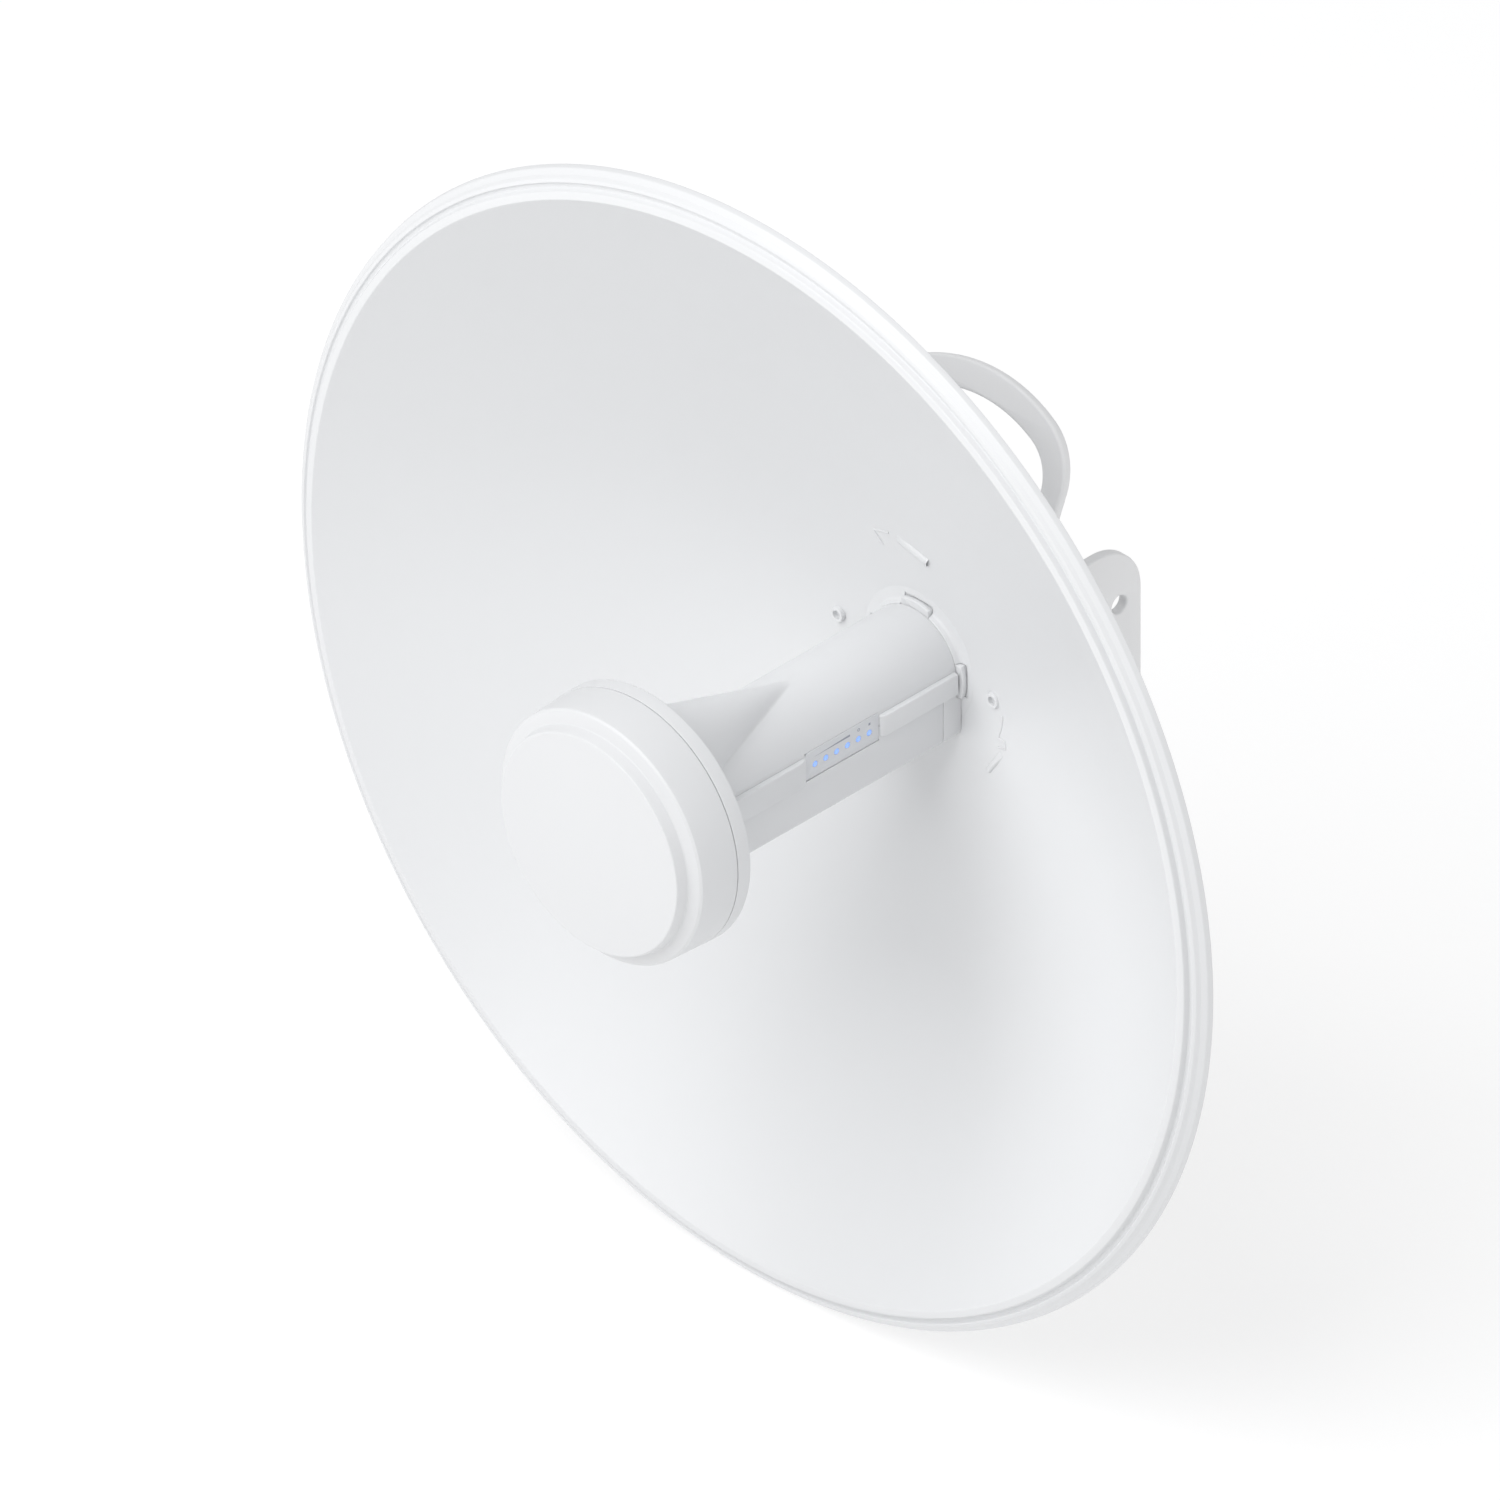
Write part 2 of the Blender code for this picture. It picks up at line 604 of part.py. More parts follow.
def make_pivot():
    washer_in = CHEEK_OUTER + GAP
    washer_out = washer_in + 1.6
    head_in = washer_out + GAP
    bolt = rod("pivot_bolt", (head_in, PIVOT_DEPTH, 0), (head_in + 5.3, PIVOT_DEPTH, 0), 7.5, 6)
    shank = rod(
        "pivot_shank", (-37, PIVOT_DEPTH, 0), (head_in + 1, PIVOT_DEPTH, 0), PIVOT_BOLT_RADIUS, 24,
        CUTTERS)
    join(bolt, shank)
    finish(bolt, ZINC)
    hexagon = circle(PIVOT_DEPTH, 0, 7.5, 6)
    hole = circle(PIVOT_DEPTH, 0, PIVOT_HOLE_RADIUS, 24)
    nut = extruded("pivot_nut", [hexagon, hole], -head_in - 6.5, -head_in, FACING_X)
    finish(nut, ZINC)
    ring = circle(PIVOT_DEPTH, 0, 8.6, 24)
    for name, low in (("left", -washer_out), ("right", washer_in)):
        washer = extruded(f"pivot_washer_{name}", [ring, hole], low, low + 1.6, FACING_X)
        finish(washer, ZINC)


def make_screws():
    for i, (x, height) in enumerate(HUB_SCREWS):
        screw(f"hub_screw_{i + 1}", x, height, PLATE_BACK + GAP + 2.0, 5.2, 3.2, 1.75)
    for i, (x, height) in enumerate(HOUSING_SCREWS):
        screw(f"housing_screw_{i + 1}", x, height, PLATE_BACK + 4.6, 5.4, 2.8, 1.45)
    for side, name in ((-1, "left"), (1, "right")):
        x = side * HANDLE_SCREW[0]
        screw(f"handle_screw_{name}", x, HANDLE_SCREW[1], PLATE_BACK + 6.1, 7.0, 3.2, 1.75)
    screw("ground_screw", *GROUND_SCREW, PLATE_BACK + GAP + 2.0, 6.0, 4.2, 1.85)


def main():
    make_dish()
    make_eyelet("dish_eyelet_left", -EYELET_X)
    make_eyelet("dish_eyelet_right", EYELET_X)
    make_hub_collar()
    make_tube_upper()
    make_tube_lower()
    make_rail("led_rail_front", 1, TUBE_FRONT, WINDOW_FRONT - GAP, -5.9, 4.1, 0.4, 2.6)
    make_rail("led_rail_rear", 1, WINDOW_BACK + GAP, TUBE_BACK - GAP, -4.1, 4.1, 3.6, 0.4)
    make_rail("plain_rail", -1, TUBE_FRONT, TUBE_BACK - GAP, -4.1, 4.1, 0.4, 0.4)
    make_led_window()
    make_led_lenses()
    make_cap()
    make_feed_insides()
    make_coupler()
    make_jack()
    make_reset_button()
    for name, turn in (("top", 0), ("right", 90), ("bottom", 180), ("left", 270)):
        make_latch(f"feed_latch_{name}", turn)
    make_dish_bracket()
    make_handle()
    make_rear_housing()
    make_grommet()
    make_port_cover()
    make_pole_bracket()
    make_pivot()
    make_screws()


main()
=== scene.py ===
"""Looks of the outdoor wireless bridge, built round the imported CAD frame."""

import math

import bmesh
import bpy
from mathutils import Matrix, Vector


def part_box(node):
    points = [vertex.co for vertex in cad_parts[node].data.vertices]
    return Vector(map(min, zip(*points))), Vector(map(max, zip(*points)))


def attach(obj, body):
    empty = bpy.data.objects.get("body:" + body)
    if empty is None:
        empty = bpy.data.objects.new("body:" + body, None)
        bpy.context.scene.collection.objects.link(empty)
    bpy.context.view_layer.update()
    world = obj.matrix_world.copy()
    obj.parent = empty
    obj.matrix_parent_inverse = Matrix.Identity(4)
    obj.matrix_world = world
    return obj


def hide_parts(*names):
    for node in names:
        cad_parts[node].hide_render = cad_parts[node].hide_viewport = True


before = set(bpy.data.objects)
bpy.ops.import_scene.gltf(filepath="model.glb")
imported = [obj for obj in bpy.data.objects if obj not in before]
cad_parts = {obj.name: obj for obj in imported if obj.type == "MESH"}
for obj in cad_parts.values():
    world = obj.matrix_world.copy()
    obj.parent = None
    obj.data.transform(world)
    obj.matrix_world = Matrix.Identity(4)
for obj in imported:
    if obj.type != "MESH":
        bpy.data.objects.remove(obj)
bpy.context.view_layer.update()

MM = 0.001
SHARP_ANGLE = math.radians(40)            # edges steeper than this stay crisp
FLOOR_GAP = 0.0004

# ---------------------------------------------------------------- places read from the frame

DISH_LOW, DISH_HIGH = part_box("dish_reflector")
RIM_RADIUS = (DISH_HIGH.x - DISH_LOW.x) / 2 / MM
AXIS_Z = (DISH_HIGH.z + DISH_LOW.z) / 2
CREST_DEPTH = -6.8                      # the rim's foremost ring, in front of the rim plane
RIM_PLANE_Y = DISH_LOW.y - CREST_DEPTH * MM
FLOOR_Z = DISH_LOW.z - FLOOR_GAP
BOWL_RADIUS = RIM_RADIUS - 9.8           # where the bowl turns into the rim
FOCAL_LENGTH = 119.7
VERTEX_DEPTH = 76.9
SHEET = 1.6                             # thickness of the reflector
EYELETS = ("dish_eyelet_left", "dish_eyelet_right")


def place(x, depth, height):
    """World point of x, depth behind the rim's plane and height above the axis, in mm."""
    return Vector((x * MM, RIM_PLANE_Y + depth * MM, AXIS_Z + height * MM))


def extent(node):
    """A node's box as (low, high) pairs along x, depth and height, in mm."""
    low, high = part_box(node)
    return (
        (low.x / MM, high.x / MM),
        ((low.y - RIM_PLANE_Y) / MM, (high.y - RIM_PLANE_Y) / MM),
        ((low.z - AXIS_Z) / MM, (high.z - AXIS_Z) / MM))


# ---------------------------------------------------------------- materials

def link(tree, source, socket, target, name):
    tree.links.new(source.outputs[socket], target.inputs[name])


def add_node(tree, kind, **values):
    node = tree.nodes.new(kind)
    for key, value in values.items():
        if key in node.inputs:
            node.inputs[key].default_value = value
        else:
            setattr(node, key, value)
    return node


def surface(name, color, roughness, grain=2500.0, bump=0.15, mottling=0.02, spread=0.06,
            metallic=0.0, coat=0.0, subsurface=0.0, brushed=None, specular=0.5):
    """A solid material: fine grain in the normal, broad variation in colour and roughness."""
    material = bpy.data.materials.new(name)
    material.use_nodes = True
    tree = material.node_tree
    shader = tree.nodes["Principled BSDF"]
    shader.inputs["Metallic"].default_value = metallic
    shader.inputs["Coat Weight"].default_value = coat
    shader.inputs["Coat Roughness"].default_value = 0.25
    shader.inputs["Specular IOR Level"].default_value = specular
    shader.inputs["Subsurface Weight"].default_value = subsurface
    shader.inputs["Subsurface Radius"].default_value = (0.002, 0.002, 0.002)
    where = add_node(tree, "ShaderNodeTexCoord")
    position = where
    socket = "Object"
    if brushed:
        position = add_node(tree, "ShaderNodeMapping")
        position.inputs["Scale"].default_value = brushed
        link(tree, where, "Object", position, "Vector")
        socket = "Vector"
    fine = add_node(tree, "ShaderNodeTexNoise", Scale=grain, Detail=2.0, Roughness=0.6)
    broad = add_node(tree, "ShaderNodeTexNoise", Scale=14.0, Detail=4.0, Roughness=0.55)
    link(tree, position, socket, fine, "Vector")
    link(tree, where, "Object", broad, "Vector")
    tone = add_node(tree, "ShaderNodeValToRGB")
    tone.color_ramp.elements[0].position = 0.3
    tone.color_ramp.elements[1].position = 0.7
    tone.color_ramp.elements[0].color = (*[c * (1 - mottling) for c in color], 1)
    tone.color_ramp.elements[1].color = (*color, 1)
    link(tree, broad, "Fac", tone, "Fac")
    link(tree, tone, "Color", shader, "Base Color")
    gloss = add_node(tree, "ShaderNodeMapRange")
    gloss.inputs["To Min"].default_value = roughness - spread
    gloss.inputs["To Max"].default_value = roughness + spread
    link(tree, fine, "Fac", gloss, "Value")
    link(tree, gloss, "Result", shader, "Roughness")
    relief = add_node(tree, "ShaderNodeBump", Strength=bump, Distance=0.00015)
    link(tree, fine, "Fac", relief, "Height")
    link(tree, relief, "Normal", shader, "Normal")
    return material


WHITE_PAINT = surface("white_paint", (0.715, 0.722, 0.732), 0.38, grain=900, bump=0.05, mottling=0.010)
WHITE_PLASTIC = surface("white_plastic", (0.70, 0.706, 0.716), 0.46, bump=0.10, mottling=0.012)
BRACKET_PLASTIC = surface("bracket_plastic", (0.79, 0.793, 0.80), 0.5, bump=0.12, mottling=0.012)
WINDOW_PLASTIC = surface("window_plastic", (0.66, 0.67, 0.69), 0.30, bump=0.03, subsurface=0.1)
ZINC = surface(
    "zinc_steel", (0.66, 0.67, 0.69), 0.30, grain=700, bump=0.2, mottling=0.10, metallic=1.0)
ALUMINIUM = surface(
    "bare_aluminium", (0.78, 0.79, 0.80), 0.34, grain=900, bump=0.25, metallic=1.0,
    brushed=(1.0, 8.0, 1.0))
RUBBER = surface("black_rubber", (0.025, 0.025, 0.027), 0.72, grain=1800, bump=0.3, mottling=0.15)
BLACK_PLASTIC = surface("black_plastic", (0.03, 0.03, 0.033), 0.42, bump=0.15, mottling=0.10)
BOARD = surface("circuit_board", (0.035, 0.20, 0.09), 0.38, grain=1200, bump=0.2, mottling=0.25)
INK = surface("grey_ink", (0.30, 0.32, 0.38), 0.5, bump=0.05)


def lens_material():
    """A pale blue light behind a small clear lens."""
    material = surface("blue_lens", (0.25, 0.42, 0.90), 0.2, grain=1500, bump=0.03, mottling=0.15)
    shader = material.node_tree.nodes["Principled BSDF"]
    shader.inputs["Emission Color"].default_value = (0.30, 0.48, 1.0, 1.0)
    shader.inputs["Emission Strength"].default_value = 0.45
    return material


LENS = lens_material()


# ---------------------------------------------------------------- shape helpers

def add_object(name, mesh, material, body, matrix=None):
    obj = bpy.data.objects.new(name, mesh)
    bpy.context.scene.collection.objects.link(obj)
    if matrix is not None:
        obj.data.transform(matrix)
    if material is not None:
        obj.data.materials.append(material)
        obj.data.shade_smooth()
        obj.data.set_sharp_from_angle(angle=SHARP_ANGLE)
    if body:
        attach(obj, body)
    return obj


def mesh_from(work, name):
    bmesh.ops.remove_doubles(work, verts=work.verts, dist=0.0000005)
    bmesh.ops.recalc_face_normals(work, faces=work.faces)
    mesh = bpy.data.meshes.new(name)
    work.to_mesh(mesh)
    work.free()
    return mesh


def rounded(points, steps=5):
    """A profile of (x, y, radius) corners with each corner turned into an arc."""
    result = []
    count = len(points)
    for i, (x, y, radius) in enumerate(points):
        corner = Vector((x, y))
        if radius <= 0:
            result.append((x, y))
            continue
        before = Vector(points[i - 1][:2]) - corner
        after = Vector(points[(i + 1) % count][:2]) - corner
        angle = before.angle(after)
        reach = min(radius / math.tan(angle / 2), before.length * 0.49, after.length * 0.49)
        start = corner + before.normalized() * reach
        end = corner + after.normalized() * reach
        for k in range(steps + 1):
            t = k / steps
            point = start.lerp(corner, t).lerp(corner.lerp(end, t), t)
            result.append((point.x, point.y))
    return result


def arc(cx, cy, radius, start, end, count):
    angles = [math.radians(start + (end - start) * i / count) for i in range(count + 1)]
    return [(cx + radius * math.cos(a), cy + radius * math.sin(a)) for a in angles]


def circle(cx, cy, radius, count=64):
    return arc(cx, cy, radius, 0, 360, count)[:-1]


def lathe(name, profile, steps, material=None, body=None, centre=(0.0, 0.0), axis="depth"):
    """Turns a closed loop of (radius, place along the axis) about an axis parallel to Y or Z."""
    work = bmesh.new()
    rings = []
    for radius, along in profile:
        ring = []
        for k in range(steps if radius > 0 else 1):
            angle = 2 * math.pi * k / steps
            across = radius * math.cos(angle)
            up = radius * math.sin(angle)
            if axis == "depth":
                point = place(centre[0] + across, along, centre[1] + up)
            else:
                point = place(centre[0] + across, centre[1] + up, along)
            ring.append(work.verts.new(point))
        rings.append(ring)
    for here, there in zip(rings, rings[1:] + rings[:1]):
        join_rings(work, here, there, steps)
    return add_object(name, mesh_from(work, name), material, body)


def join_rings(work, here, there, steps):
    if len(here) == 1 and len(there) == 1:
        return
    for k in range(steps):
        nxt = (k + 1) % steps
        if len(here) == 1:
            work.faces.new((here[0], there[nxt], there[k]))
        elif len(there) == 1:
            work.faces.new((here[k], here[nxt], there[0]))
        else:
            work.faces.new((here[k], here[nxt], there[nxt], there[k]))


AXES = {
    "x": Matrix(((0, 0, 1), (1, 0, 0), (0, 1, 0))),
    "depth": Matrix(((1, 0, 0), (0, 0, -1), (0, 1, 0))),
    "height": Matrix.Identity(3),
}


def mesh_from_curve(name, curve):
    """The mesh that a curve makes, with its caps welded on."""
    guide = bpy.data.objects.new(name + "_guide", curve)
    bpy.context.scene.collection.objects.link(guide)
    mesh = bpy.data.meshes.new_from_object(
        guide.evaluated_get(bpy.context.evaluated_depsgraph_get()))
    bpy.data.objects.remove(guide, do_unlink=True)
    work = bmesh.new()
    work.from_mesh(mesh)
    return mesh_from(work, name)


def plate(name, outlines, low, high, axes, edge=0.5, material=None, body=None, start=None):
    """A flat piece with rounded edges: closed outlines, from low to high along the normal."""
    curve = bpy.data.curves.new(name, "CURVE")
    curve.dimensions = "2D"
    curve.fill_mode = "BOTH"
    curve.bevel_depth = edge * MM
    curve.bevel_resolution = 2
    curve.offset = -edge * MM
    curve.extrude = ((high - low) / 2 - edge) * MM
    for outline in outlines:
        spline = curve.splines.new("POLY")
        spline.points.add(len(outline) - 1)
        for vertex, (x, y) in zip(spline.points, outline):
            vertex.co = (x * MM, y * MM, 0.0, 1.0)
        spline.use_cyclic_u = True
    turn = AXES[axes] if isinstance(axes, str) else axes
    origin = place(0, 0, 0) if start is None else start
    shift = turn @ Vector((0, 0, (low + high) / 2 * MM))
    matrix = Matrix.Translation(origin + shift) @ turn.to_4x4()
    return add_object(name, mesh_from_curve(name, curve), material, body, matrix)


def block(name, x, depth, height, edge=0.0, material=None, body=None, segments=3):
    """A box between (low, high) pairs, with rounded edges."""
    work = bmesh.new()
    sides = [(pair[1] - pair[0]) * MM for pair in (x, depth, height)]
    middle = place(*[(pair[0] + pair[1]) / 2 for pair in (x, depth, height)])
    matrix = Matrix.Translation(middle) @ Matrix.Diagonal((*sides, 1.0))
    bmesh.ops.create_cube(work, size=1.0, matrix=matrix)
    if edge:
        bmesh.ops.bevel(
            work, geom=work.edges[:], offset=edge * MM, segments=segments, profile=0.5,
            affect="EDGES")
    return add_object(name, mesh_from(work, name), material, body)


def rod(name, start, end, radius, sides=48, material=None, body=None):
    first = place(*start)
    last = place(*end)
    work = bmesh.new()
    bmesh.ops.create_cone(
        work, cap_ends=True, segments=sides, radius1=radius * MM, radius2=radius * MM,
        depth=(last - first).length)
    turn = (last - first).to_track_quat("Z", "Y").to_matrix().to_4x4()
    matrix = Matrix.Translation((first + last) / 2) @ turn
    return add_object(name, mesh_from(work, name), material, body, matrix)


def boolean(obj, tools, operation="DIFFERENCE"):
    """Applies Booleans to a finished piece and removes the tools."""
    for tool in tools:
        modifier = obj.modifiers.new("boolean", "BOOLEAN")
        modifier.operation = operation
        modifier.solver = "EXACT"
        modifier.object = tool
    bake(obj)
    for tool in tools:
        bpy.data.objects.remove(tool, do_unlink=True)
    return obj


def bake(obj):
    """Replaces the mesh by what its modifiers make of it."""
    graph = bpy.context.evaluated_depsgraph_get()
    mesh = bpy.data.meshes.new_from_object(obj.evaluated_get(graph))
    obj.modifiers.clear()
    obj.data = mesh
    obj.data.shade_smooth()
    obj.data.set_sharp_from_angle(angle=SHARP_ANGLE)


def soften(obj, width, segments=2, angle=35):
    modifier = obj.modifiers.new("edges", "BEVEL")
    modifier.width = width * MM
    modifier.segments = segments
    modifier.limit_method = "ANGLE"
    modifier.angle_limit = math.radians(angle)
    modifier.harden_normals = True
    bake(obj)
    return obj


def refined(node, body, material, slot, width=0.4, segments=2):
    """A copy of a CAD node with its flat triangles merged and its edges rounded."""
    work = bmesh.new()
    work.from_mesh(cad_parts[node].data)
    work.transform(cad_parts[node].matrix_world)
    bmesh.ops.remove_doubles(work, verts=work.verts, dist=0.000001)
    bmesh.ops.dissolve_limit(
        work, angle_limit=math.radians(1), verts=work.verts, edges=work.edges)
    piece = add_object(node + "_fine", mesh_from(work, node), material, body)
    soften(piece, width, segments)
    return stand_for(piece, slot, node)


def stand_for(piece, slot, *nodes):
    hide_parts(*nodes)
    return piece


# ---------------------------------------------------------------- reflector

def bowl_depth(radius):
    return VERTEX_DEPTH - radius ** 2 / (4 * FOCAL_LENGTH)


def bowl_point(x, height, lift=0.0):
    """A point lift mm in front of the bowl's surface."""
    return place(x, bowl_depth(math.hypot(x, height)) - lift, height)


def bowl_back(radius):
    slope = -radius / (2 * FOCAL_LENGTH)
    length = math.hypot(1, slope)
    return radius - SHEET * slope / length, bowl_depth(radius) + SHEET / length


def make_dish():
    hole = 20.7
    rings = 64
    last_back = 196.0
    front = [hole + (BOWL_RADIUS - 1.2 - hole) * i / rings for i in range(rings + 1)]
    back = [hole + (last_back - hole) * i / rings for i in range(rings + 1)]
    bowl = [(r, bowl_depth(r)) for r in front]
    bead = rounded([
        (*bowl[-1], 0), (BOWL_RADIUS - 0.2, CREST_DEPTH + 0.1, 0.7), (202.7, -6.2, 0.7),
        (203.5, -4.1, 0.6), (204.8, -4.1, 0.5), (205.4, -4.9, 0.4), (206.6, -4.3, 0.6),
        (207.5, -3.0, 0.5), (209.4, -1.7, 1.0), (RIM_RADIUS, 0.5, 0.3), (208.4, 0.5, 0.3),
        (207.6, -1.0, 0.5), (206.3, -2.4, 0.6), (203.2, -2.3, 0.8), (*bowl_back(last_back), 0)])
    profile = bowl[:-1] + bead + [bowl_back(r) for r in back[:-1]][::-1]
    dish = lathe("reflector_shell", profile, 288, WHITE_PAINT)
    holes = []
    for node in EYELETS:
        x = sum(extent(node)[0]) / 2
        holes.append(rod(node + "_hole", (x, 70, 0), (x, 80, 0), 2.15, 32))
    boolean(dish, holes)
    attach(dish, "head")
    stand_for(dish, "white_paint", "dish_reflector")


def make_eyelets():
    profile = rounded([
        (0.6, 74.6, 0.05), (1.5, 74.5, 0.1), (1.6, 73.0, 0.25), (2.6, 72.9, 0.35), (2.9, 74.5, 0.1),
        (1.8, 74.7, 0), (1.8, 76.6, 0), (3.2, 76.6, 0.2), (3.2, 79.3, 0.2), (1.8, 79.3, 0),
        (1.8, 83.4, 0), (3.2, 83.4, 0.1), (3.2, 84.2, 0.4), (0.6, 84.2, 0.1)], 4)
    for node in EYELETS:
        x = sum(extent(node)[0]) / 2
        eyelet = lathe(node + "_fine", profile, 40, WHITE_PAINT, "head", (x, 0.0))
        stand_for(eyelet, "white_paint", node)


def make_ridge(name, points, width):
    """A low raised line pressed into the bowl, through (x, height) points."""
    curve = bpy.data.curves.new(name, "CURVE")
    curve.dimensions = "3D"
    curve.bevel_depth = width / 2 * MM
    curve.bevel_resolution = 3
    curve.use_fill_caps = True
    spline = curve.splines.new("POLY")
    spline.points.add(len(points) - 1)
    for vertex, (x, height) in zip(spline.points, points):
        vertex.co = (*bowl_point(x, height), 1.0)
    ridge = add_object(name, mesh_from_curve(name, curve), WHITE_PAINT, "head")


def make_louvre(name, start, end, width, lift):
    """A short pressed louvre between two (x, height) points, open at its far end."""
    first = Vector(start)
    last = Vector(end)
    along = (last - first).normalized()
    across = Vector((-along.y, along.x))
    rows = 16
    columns = 10
    work = bmesh.new()
    grid = []
    for i in range(rows + 1):
        t = i / rows
        rise = lift * min(1.0, math.sin(math.pi / 2 * min(1.0, t * 1.6)))
        line = []
        for k in range(columns + 1):
            s = k / columns - 0.5
            spot = first.lerp(last, t) + across * s * width
            bulge = rise * (1 - abs(2 * s) ** 3) - 0.05
            line.append(work.verts.new(bowl_point(spot.x, spot.y, bulge)))
        grid.append(line)
    for here, there in zip(grid, grid[1:]):
        for k in range(columns):
            work.faces.new((here[k], here[k + 1], there[k + 1], there[k]))
    piece = add_object(name, mesh_from(work, name), WHITE_PAINT, None)
    skin = piece.modifiers.new("sheet", "SOLIDIFY")
    skin.thickness = 0.25 * MM
    skin.offset = 0.0
    bake(piece)
    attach(piece, "head")


def make_pressed_marks():
    """The lock arrows pressed into the bowl above and beside the hub."""
    make_ridge("pressed_corner_top", [(-11.0, 45.2), (-17.6, 43.4), (-14.4, 38.4)], 0.75)
    make_louvre("pressed_louvre_top", (-7.4, 44.4), (6.4, 40.9), 3.4, 1.1)
    make_ridge("pressed_line_side", [(40.8, -3.8), (40.2, -8.5), (38.7, -13.4)], 0.8)
    make_ridge("pressed_hook_side", [(38.7, -13.4), (42.2, -13.0), (43.0, -15.4), (39.0, -16.8)], 0.9)
    make_louvre("pressed_louvre_side", (40.8, -18.4), (35.0, -27.4), 2.3, 0.9)


# ---------------------------------------------------------------- hub and feed

TUBE_RADIUS = extent("feed_tube_upper")[0][1]
TUBE_FRONT = extent("feed_tube_upper")[1][0]
TUBE_BOTTOM = extent("feed_tube_lower")[2][0]
TUBE_WALL = 2.0
SEAM = 0.15                             # half the gap between the tube's two halves
WINDOW_GAP = 0.1
LUG_HALF_WIDTH = 6.3
LUG_RADIUS = 22.2
ROOT_DEPTH = 73.2                       # where the visible tube ends against the collar
SOCKET_DEPTH = 66.9                     # where its flat lower half plugs into the dish's socket
WINDOW_DEPTH = extent("led_window")[1]
WINDOW_HEIGHT = extent("led_window")[2]
WINDOW_FACE = extent("led_window")[0][1]


def make_hub_collar():
    """The ring round the feed's root, flared onto the bowl, with a notch for each latch."""
    front = extent("hub_collar")[1][0]
    flare = 25.0
    profile = rounded([
        (16.5, front, 0.4), (20.1, front, 0.4), (20.7, 75.3, 2.0),
        (flare, bowl_depth(flare) - 0.02, 0), (flare, bowl_depth(flare) + 0.4, 0),
        (20.4, bowl_depth(20.4) + 0.4, 0), (20.4, 77.9, 0), (32.0, 77.9, 0.2),
        (32.0, 79.3, 0.2), (16.5, 79.3, 0.3)])
    collar = lathe("collar_ring", profile, 224, WHITE_PAINT)
    notch = LUG_HALF_WIDTH + 0.2
    reach = LUG_RADIUS + 0.25
    boolean(collar, [
        block("notch_upright", (-notch, notch), (70, 76.2), (-reach, reach)),
        block("notch_across", (-reach, reach), (70, 76.2), (-notch, notch))])
    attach(collar, "head")
    stand_for(collar, "white_plastic", "hub_collar")


def make_latches():
    """Four spring lugs that stand in the collar's notches, with their arms inside the tube."""
    turns = {"top": 0, "right": 1, "bottom": 2, "left": 3}
    for side, quarter in turns.items():
        node = f"feed_latch_{side}"
        lug = block(
            node + "_lug", (-LUG_HALF_WIDTH, LUG_HALF_WIDTH), (73.35, 75.9), (17.6, 23.0),
            0.0, WHITE_PAINT)
        arm = block(node + "_arm", (-3.6, 3.6), (62, 75.2), (14.3, 15.6), 0.3, WHITE_PAINT)
        leg = block(node + "_leg", (-3.6, 3.6), (73.6, 75.4), (14.6, 18.0), 0.3, WHITE_PAINT)
        outline = rod(node + "_round", (0, 70, 0), (0, 80, 0), LUG_RADIUS, 160)
        boolean(lug, [outline], "INTERSECT")
        soften(lug, 0.3, 2)
        boolean(lug, [arm, leg], "UNION")
        centre = place(0, 0, 0)
        turn = Matrix.Rotation(math.pi / 2 * quarter, 4, "Y")
        lug.data.transform(Matrix.Translation(centre) @ turn @ Matrix.Translation(-centre))
        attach(lug, f"latch_{side}")
        stand_for(lug, "white_plastic", node)


def gusset_radius(angle, depth):
    """Distance from the axis to the gusset's cone, in the direction of the angle."""
    height = 17.5
    tip_depth, tip_radius = 16.0, 1.5
    spread = 19.5 / 72.0                # how fast the cone opens towards the cap
    radius = tip_radius + (tip_depth - depth) * spread
    inside = radius ** 2 - (height * math.cos(angle)) ** 2
    if radius <= 0 or inside <= 0:
        return 0.0
    return height * math.sin(angle) + math.sqrt(inside)


def tube_radius(angle, depth):
    """The tube with the gusset blended into it by a narrow fillet."""
    fillet = 0.9
    gusset = gusset_radius(angle, depth)
    lower = min(TUBE_RADIUS, gusset)
    upper = max(TUBE_RADIUS, gusset)
    overlap = max(0.0, fillet - (upper - lower)) / fillet
    return upper + overlap ** 2 * fillet / 4


def make_tube_upper():
    stations = 124
    around = 144
    inner = TUBE_RADIUS - TUBE_WALL
    seam = math.asin(SEAM / TUBE_RADIUS)
    work = bmesh.new()
    loops = []
    for i in range(stations + 1):
        depth = TUBE_FRONT + (ROOT_DEPTH - TUBE_FRONT) * i / stations
        angles = [seam + (math.pi - 2 * seam) * k / around for k in range(around + 1)]
        outer = [(tube_radius(a, depth), a) for a in angles]
        loop = outer + [(inner, a) for a in angles[::-1]]
        loops.append([
            work.verts.new(place(r * math.cos(a), depth, r * math.sin(a))) for r, a in loop])
    for here, there in zip(loops, loops[1:]):
        for k in range(len(here)):
            nxt = (k + 1) % len(here)
            work.faces.new((here[k], here[nxt], there[nxt], there[k]))
    for loop in (loops[0], loops[-1]):
        half = len(loop) // 2
        for k in range(half - 1):
            work.faces.new((loop[k], loop[k + 1], loop[-2 - k], loop[-1 - k]))
    tube = add_object("tube_shell_upper", mesh_from(work, "tube_shell_upper"), WHITE_PLASTIC, None)
    boolean(tube, [block(
        "window_above", (15, 25), (WINDOW_DEPTH[0] - WINDOW_GAP, WINDOW_DEPTH[1] + WINDOW_GAP),
        (-1, WINDOW_HEIGHT[1] + WINDOW_GAP))])
    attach(tube, "feed")
    stand_for(tube, "white_plastic", "feed_tube_upper")


